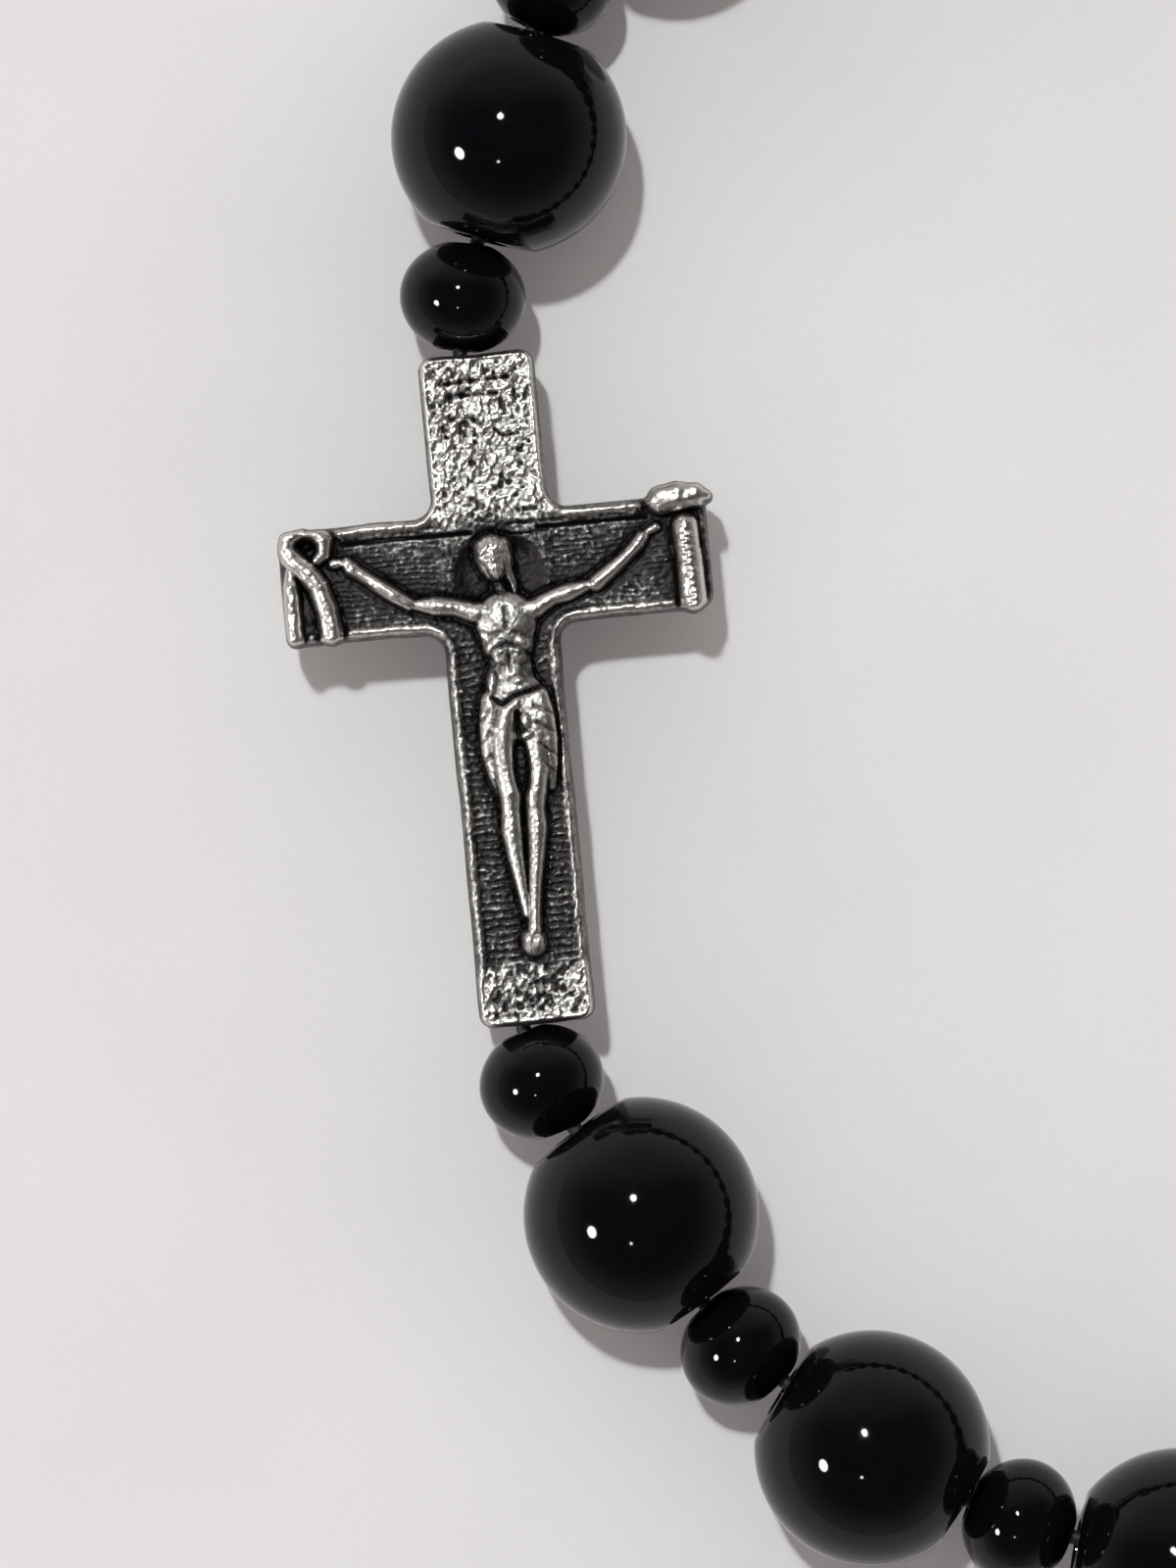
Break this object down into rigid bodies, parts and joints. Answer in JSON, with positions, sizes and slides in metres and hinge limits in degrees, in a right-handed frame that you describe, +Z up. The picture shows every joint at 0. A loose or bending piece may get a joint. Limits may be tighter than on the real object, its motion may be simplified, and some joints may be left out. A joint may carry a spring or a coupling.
{
  "type": "rosary bracelet",
  "caption": "Stretch rosary bracelet of large and small round glass beads in turn on an elastic cord, with a cast crucifix threaded in line.",
  "frame": {"origin": "centre of the bracelet's footprint, at the level the large beads rest on", "axes": "+Z up out of the flat loop, +Y along the crucifix from foot to head, -X towards the crucifix's side of the loop"},
  "size_m": [0.0718, 0.0759, 0.008],
  "materials": {
    "bead_glass": "gloss",
    "cast_pewter": "antiqued, polished highs",
    "elastic_cord": "satin"
  },
  "bodies": {
    "cord_front": {"cord_front": "elastic_cord"},
    "cord_top_1": {"cord_top_1": "elastic_cord"},
    "cord_top_2": {"cord_top_2": "elastic_cord"},
    "cord_top_3": {"cord_top_3": "elastic_cord"},
    "cord_top_4": {"cord_top_4": "elastic_cord"},
    "cord_top_5": {"cord_top_5": "elastic_cord"},
    "cord_top_6": {"cord_top_6": "elastic_cord"},
    "cord_top_7": {"cord_top_7": "elastic_cord"},
    "cord_top_8": {"cord_top_8": "elastic_cord"},
    "cord_foot_1": {"cord_foot_1": "elastic_cord"},
    "cord_foot_2": {"cord_foot_2": "elastic_cord"},
    "cord_foot_3": {"cord_foot_3": "elastic_cord"},
    "cord_foot_4": {"cord_foot_4": "elastic_cord"},
    "cord_foot_5": {"cord_foot_5": "elastic_cord"},
    "cord_foot_6": {"cord_foot_6": "elastic_cord"},
    "cord_foot_7": {"cord_foot_7": "elastic_cord"},
    "cord_foot_8": {"cord_foot_8": "elastic_cord"},
    "crucifix": {"crucifix": "cast_pewter"},
    "small_bead_01": {"small_bead_01": "bead_glass"},
    "small_bead_17": {"small_bead_17": "bead_glass"},
    "large_bead_01": {"large_bead_01": "bead_glass"},
    "small_bead_02": {"small_bead_02": "bead_glass"},
    "large_bead_02": {"large_bead_02": "bead_glass"},
    "small_bead_03": {"small_bead_03": "bead_glass"},
    "large_bead_03": {"large_bead_03": "bead_glass"},
    "small_bead_04": {"small_bead_04": "bead_glass"},
    "large_bead_04": {"large_bead_04": "bead_glass"},
    "small_bead_05": {"small_bead_05": "bead_glass"},
    "large_bead_05": {"large_bead_05": "bead_glass"},
    "small_bead_06": {"small_bead_06": "bead_glass"},
    "large_bead_06": {"large_bead_06": "bead_glass"},
    "small_bead_07": {"small_bead_07": "bead_glass"},
    "large_bead_07": {"large_bead_07": "bead_glass"},
    "small_bead_08": {"small_bead_08": "bead_glass"},
    "large_bead_08": {"large_bead_08": "bead_glass"},
    "small_bead_09": {"small_bead_09": "bead_glass"},
    "large_bead_16": {"large_bead_16": "bead_glass"},
    "small_bead_16": {"small_bead_16": "bead_glass"},
    "large_bead_15": {"large_bead_15": "bead_glass"},
    "small_bead_15": {"small_bead_15": "bead_glass"},
    "large_bead_14": {"large_bead_14": "bead_glass"},
    "small_bead_14": {"small_bead_14": "bead_glass"},
    "large_bead_13": {"large_bead_13": "bead_glass"},
    "small_bead_13": {"small_bead_13": "bead_glass"},
    "large_bead_12": {"large_bead_12": "bead_glass"},
    "small_bead_12": {"small_bead_12": "bead_glass"},
    "large_bead_11": {"large_bead_11": "bead_glass"},
    "small_bead_11": {"small_bead_11": "bead_glass"},
    "large_bead_10": {"large_bead_10": "bead_glass"},
    "small_bead_10": {"small_bead_10": "bead_glass"},
    "large_bead_09": {"large_bead_09": "bead_glass"}
  },
  "joints": [
    {"name": "loop_flex", "type": "hinge", "parent": "cord_front", "child": "cord_top_1", "pos_m": [-0.02779, 0.0154, 0.0036], "axis": [0, 0, 1], "range_deg": [-12, 16]},
    {"name": "loop_flex_top_2", "type": "hinge", "parent": "cord_top_1", "child": "cord_top_2", "pos_m": [-0.02285, 0.02526, 0.0036], "axis": [0, 0, 1], "range_deg": [-1.5, 1.2]},
    {"name": "loop_flex_top_3", "type": "hinge", "parent": "cord_top_2", "child": "cord_top_3", "pos_m": [-0.01358, 0.03139, 0.0036], "axis": [0, 0, 1], "range_deg": [-11.9, 9]},
    {"name": "loop_flex_top_4", "type": "hinge", "parent": "cord_top_3", "child": "cord_top_4", "pos_m": [-0.00272, 0.03383, 0.0036], "axis": [0, 0, 1], "range_deg": [-5.1, 3.8]},
    {"name": "loop_flex_top_5", "type": "hinge", "parent": "cord_top_4", "child": "cord_top_5", "pos_m": [0.00832, 0.03232, 0.0036], "axis": [0, 0, 1], "range_deg": [-5, 3.8]},
    {"name": "loop_flex_top_6", "type": "hinge", "parent": "cord_top_5", "child": "cord_top_6", "pos_m": [0.01831, 0.02741, 0.0036], "axis": [0, 0, 1], "range_deg": [-11.5, 8.7]},
    {"name": "loop_flex_top_7", "type": "hinge", "parent": "cord_top_6", "child": "cord_top_7", "pos_m": [0.02591, 0.01926, 0.0036], "axis": [0, 0, 1], "range_deg": [-8.2, 10.9]},
    {"name": "loop_flex_top_8", "type": "hinge", "parent": "cord_top_7", "child": "cord_top_8", "pos_m": [0.03057, 0.00913, 0.0036], "axis": [0, 0, 1], "range_deg": [-10.4, 13.8]},
    {"name": "loop_flex_foot_1", "type": "hinge", "parent": "cord_front", "child": "cord_foot_1", "pos_m": [-0.0272, -0.01637, 0.0036], "axis": [0, 0, 1], "range_deg": [-17.6, 13.3]},
    {"name": "loop_flex_foot_2", "type": "hinge", "parent": "cord_foot_1", "child": "cord_foot_2", "pos_m": [-0.02074, -0.02545, 0.0036], "axis": [0, 0, 1], "range_deg": [-4.2, 5.5]},
    {"name": "loop_flex_foot_3", "type": "hinge", "parent": "cord_foot_2", "child": "cord_foot_3", "pos_m": [-0.01131, -0.03133, 0.0036], "axis": [0, 0, 1], "range_deg": [-7.2, 9.6]},
    {"name": "loop_flex_foot_4", "type": "hinge", "parent": "cord_foot_3", "child": "cord_foot_4", "pos_m": [-0.00044, -0.03383, 0.0036], "axis": [0, 0, 1], "range_deg": [-3.2, 4.3]},
    {"name": "loop_flex_foot_5", "type": "hinge", "parent": "cord_foot_4", "child": "cord_foot_5", "pos_m": [0.01052, -0.03213, 0.0036], "axis": [0, 0, 1], "range_deg": [-6.2, 8.2]},
    {"name": "loop_flex_foot_6", "type": "hinge", "parent": "cord_foot_5", "child": "cord_foot_6", "pos_m": [0.02009, -0.02643, 0.0036], "axis": [0, 0, 1], "range_deg": [-6.5, 8.6]},
    {"name": "loop_flex_foot_7", "type": "hinge", "parent": "cord_foot_6", "child": "cord_foot_7", "pos_m": [0.02727, -0.0179, 0.0036], "axis": [0, 0, 1], "range_deg": [-14.9, 11.2]},
    {"name": "loop_flex_foot_8", "type": "hinge", "parent": "cord_foot_7", "child": "cord_foot_8", "pos_m": [0.03125, -0.0075, 0.0036], "axis": [0, 0, 1], "range_deg": [-9.2, 6.9]},
    {"name": "crucifix_spin", "type": "hinge", "parent": "cord_front", "child": "crucifix", "pos_m": [-0.02859, -0.0006, 0.0033], "axis": [0, 1, 0], "continuous": true},
    {"name": "small_bead_01_spin", "type": "hinge", "parent": "cord_front", "child": "small_bead_01", "pos_m": [-0.02883, 0.01279, 0.0033], "axis": [0.2058, 0.9786, 0], "continuous": true},
    {"name": "small_bead_17_spin", "type": "hinge", "parent": "cord_front", "child": "small_bead_17", "pos_m": [-0.02867, -0.01398, 0.0033], "axis": [-0.3093, 0.951, 0], "continuous": true},
    {"name": "large_bead_01_spin", "type": "hinge", "parent": "cord_top_1", "child": "large_bead_01", "pos_m": [-0.02676, 0.01801, 0.004], "axis": [0.3557, 0.9346, 0], "continuous": true},
    {"name": "small_bead_02_spin", "type": "hinge", "parent": "cord_top_1", "child": "small_bead_02", "pos_m": [-0.02483, 0.02327, 0.0033], "axis": [0.5377, 0.8432, 0], "continuous": true},
    {"name": "large_bead_02_spin", "type": "hinge", "parent": "cord_top_2", "child": "large_bead_02", "pos_m": [-0.02088, 0.02725, 0.004], "axis": [0.7815, 0.6239, 0], "continuous": true},
    {"name": "small_bead_03_spin", "type": "hinge", "parent": "cord_top_2", "child": "small_bead_03", "pos_m": [-0.01617, 0.0303, 0.0033], "axis": [0.8848, 0.466, 0], "continuous": true},
    {"name": "large_bead_03_spin", "type": "hinge", "parent": "cord_top_3", "child": "large_bead_03", "pos_m": [-0.01099, 0.03247, 0.004], "axis": [0.954, 0.2998, 0], "continuous": true},
    {"name": "small_bead_04_spin", "type": "hinge", "parent": "cord_top_3", "child": "small_bead_04", "pos_m": [-0.00552, 0.0337, 0.0033], "axis": [0.9896, 0.1439, 0], "continuous": true},
    {"name": "large_bead_04_spin", "type": "hinge", "parent": "cord_top_4", "child": "large_bead_04", "pos_m": [0.00009, 0.03396, 0.004], "axis": [0.9982, -0.0599, 0], "continuous": true},
    {"name": "small_bead_05_spin", "type": "hinge", "parent": "cord_top_4", "child": "small_bead_05", "pos_m": [0.00564, 0.03315, 0.0033], "axis": [0.9749, -0.2226, 0], "continuous": true},
    {"name": "large_bead_05_spin", "type": "hinge", "parent": "cord_top_5", "child": "large_bead_05", "pos_m": [0.011, 0.0315, 0.004], "axis": [0.9341, -0.3571, 0], "continuous": true},
    {"name": "small_bead_06_spin", "type": "hinge", "parent": "cord_top_5", "child": "small_bead_06", "pos_m": [0.01607, 0.02909, 0.0033], "axis": [0.8613, -0.5081, 0], "continuous": true},
    {"name": "large_bead_06_spin", "type": "hinge", "parent": "cord_top_6", "child": "large_bead_06", "pos_m": [0.02056, 0.02573, 0.004], "axis": [0.736, -0.677, 0], "continuous": true},
    {"name": "small_bead_07_spin", "type": "hinge", "parent": "cord_top_6", "child": "small_bead_07", "pos_m": [0.02435, 0.0216, 0.0033], "axis": [0.6163, -0.7875, 0], "continuous": true},
    {"name": "large_bead_07_spin", "type": "hinge", "parent": "cord_top_7", "child": "large_bead_07", "pos_m": [0.02746, 0.01693, 0.004], "axis": [0.4873, -0.8733, 0], "continuous": true},
    {"name": "small_bead_08_spin", "type": "hinge", "parent": "cord_top_7", "child": "small_bead_08", "pos_m": [0.02982, 0.01184, 0.0033], "axis": [0.3487, -0.9372, 0], "continuous": true},
    {"name": "large_bead_08_spin", "type": "hinge", "parent": "cord_top_8", "child": "large_bead_08", "pos_m": [0.03132, 0.00643, 0.004], "axis": [0.1898, -0.9818, 0], "continuous": true},
    {"name": "small_bead_09_spin", "type": "hinge", "parent": "cord_top_8", "child": "small_bead_09", "pos_m": [0.03197, 0.00086, 0.0033], "axis": [0.0402, -0.9992, 0], "continuous": true},
    {"name": "large_bead_16_spin", "type": "hinge", "parent": "cord_foot_1", "child": "large_bead_16", "pos_m": [-0.02573, -0.01875, 0.004], "axis": [-0.5198, 0.8543, 0], "continuous": true},
    {"name": "small_bead_16_spin", "type": "hinge", "parent": "cord_foot_1", "child": "small_bead_16", "pos_m": [-0.02279, -0.02354, 0.0033], "axis": [-0.6337, 0.7736, 0], "continuous": true},
    {"name": "large_bead_15_spin", "type": "hinge", "parent": "cord_foot_2", "child": "large_bead_15", "pos_m": [-0.01869, -0.02736, 0.004], "axis": [-0.7935, 0.6086, 0], "continuous": true},
    {"name": "small_bead_15_spin", "type": "hinge", "parent": "cord_foot_2", "child": "small_bead_15", "pos_m": [-0.01393, -0.03034, 0.0033], "axis": [-0.8967, 0.4427, 0], "continuous": true},
    {"name": "large_bead_14_spin", "type": "hinge", "parent": "cord_foot_3", "child": "large_bead_14", "pos_m": [-0.00868, -0.03232, 0.004], "axis": [-0.9604, 0.2785, 0], "continuous": true},
    {"name": "small_bead_14_spin", "type": "hinge", "parent": "cord_foot_3", "child": "small_bead_14", "pos_m": [-0.00324, -0.03367, 0.0033], "axis": [-0.9843, 0.1764, 0], "continuous": true},
    {"name": "large_bead_13_spin", "type": "hinge", "parent": "cord_foot_4", "child": "large_bead_13", "pos_m": [0.00236, -0.03399, 0.004], "axis": [-0.9988, -0.0499, 0], "continuous": true},
    {"name": "small_bead_13_spin", "type": "hinge", "parent": "cord_foot_4", "child": "small_bead_13", "pos_m": [0.00791, -0.03314, 0.0033], "axis": [-0.9656, -0.26, 0], "continuous": true},
    {"name": "large_bead_12_spin", "type": "hinge", "parent": "cord_foot_5", "child": "large_bead_12", "pos_m": [0.01314, -0.03113, 0.004], "axis": [-0.8979, -0.4403, 0], "continuous": true},
    {"name": "small_bead_12_spin", "type": "hinge", "parent": "cord_foot_5", "child": "small_bead_12", "pos_m": [0.01796, -0.02826, 0.0033], "axis": [-0.8125, -0.583, 0], "continuous": true},
    {"name": "large_bead_11_spin", "type": "hinge", "parent": "cord_foot_6", "child": "large_bead_11", "pos_m": [0.02222, -0.02461, 0.004], "axis": [-0.7033, -0.7109, 0], "continuous": true},
    {"name": "small_bead_11_spin", "type": "hinge", "parent": "cord_foot_6", "child": "small_bead_11", "pos_m": [0.02583, -0.02031, 0.0033], "axis": [-0.5781, -0.8159, 0], "continuous": true},
    {"name": "large_bead_10_spin", "type": "hinge", "parent": "cord_foot_7", "child": "large_bead_10", "pos_m": [0.02871, -0.01549, 0.004], "axis": [-0.442, -0.897, 0], "continuous": true},
    {"name": "small_bead_10_spin", "type": "hinge", "parent": "cord_foot_7", "child": "small_bead_10", "pos_m": [0.03072, -0.01026, 0.0033], "axis": [-0.269, -0.9631, 0], "continuous": true},
    {"name": "large_bead_09_spin", "type": "hinge", "parent": "cord_foot_8", "child": "large_bead_09", "pos_m": [0.03177, -0.00475, 0.004], "axis": [-0.1093, -0.994, 0], "continuous": true}
  ],
  "couplings": [
    {"joint": "loop_flex_top_2", "follows": "loop_flex", "ratio": -0.0868},
    {"joint": "loop_flex_top_3", "follows": "loop_flex", "ratio": -0.7334},
    {"joint": "loop_flex_top_4", "follows": "loop_flex", "ratio": -0.307},
    {"joint": "loop_flex_top_5", "follows": "loop_flex", "ratio": -0.3018},
    {"joint": "loop_flex_top_6", "follows": "loop_flex", "ratio": -0.7106},
    {"joint": "loop_flex_top_7", "follows": "loop_flex", "ratio": 0.6729},
    {"joint": "loop_flex_top_8", "follows": "loop_flex", "ratio": 0.8526},
    {"joint": "loop_flex_foot_1", "follows": "loop_flex", "ratio": -1.0917},
    {"joint": "loop_flex_foot_2", "follows": "loop_flex", "ratio": 0.3375},
    {"joint": "loop_flex_foot_3", "follows": "loop_flex", "ratio": 0.5878},
    {"joint": "loop_flex_foot_4", "follows": "loop_flex", "ratio": 0.2575},
    {"joint": "loop_flex_foot_5", "follows": "loop_flex", "ratio": 0.5046},
    {"joint": "loop_flex_foot_6", "follows": "loop_flex", "ratio": 0.5256},
    {"joint": "loop_flex_foot_7", "follows": "loop_flex", "ratio": -0.9209},
    {"joint": "loop_flex_foot_8", "follows": "loop_flex", "ratio": -0.566}
  ]
}
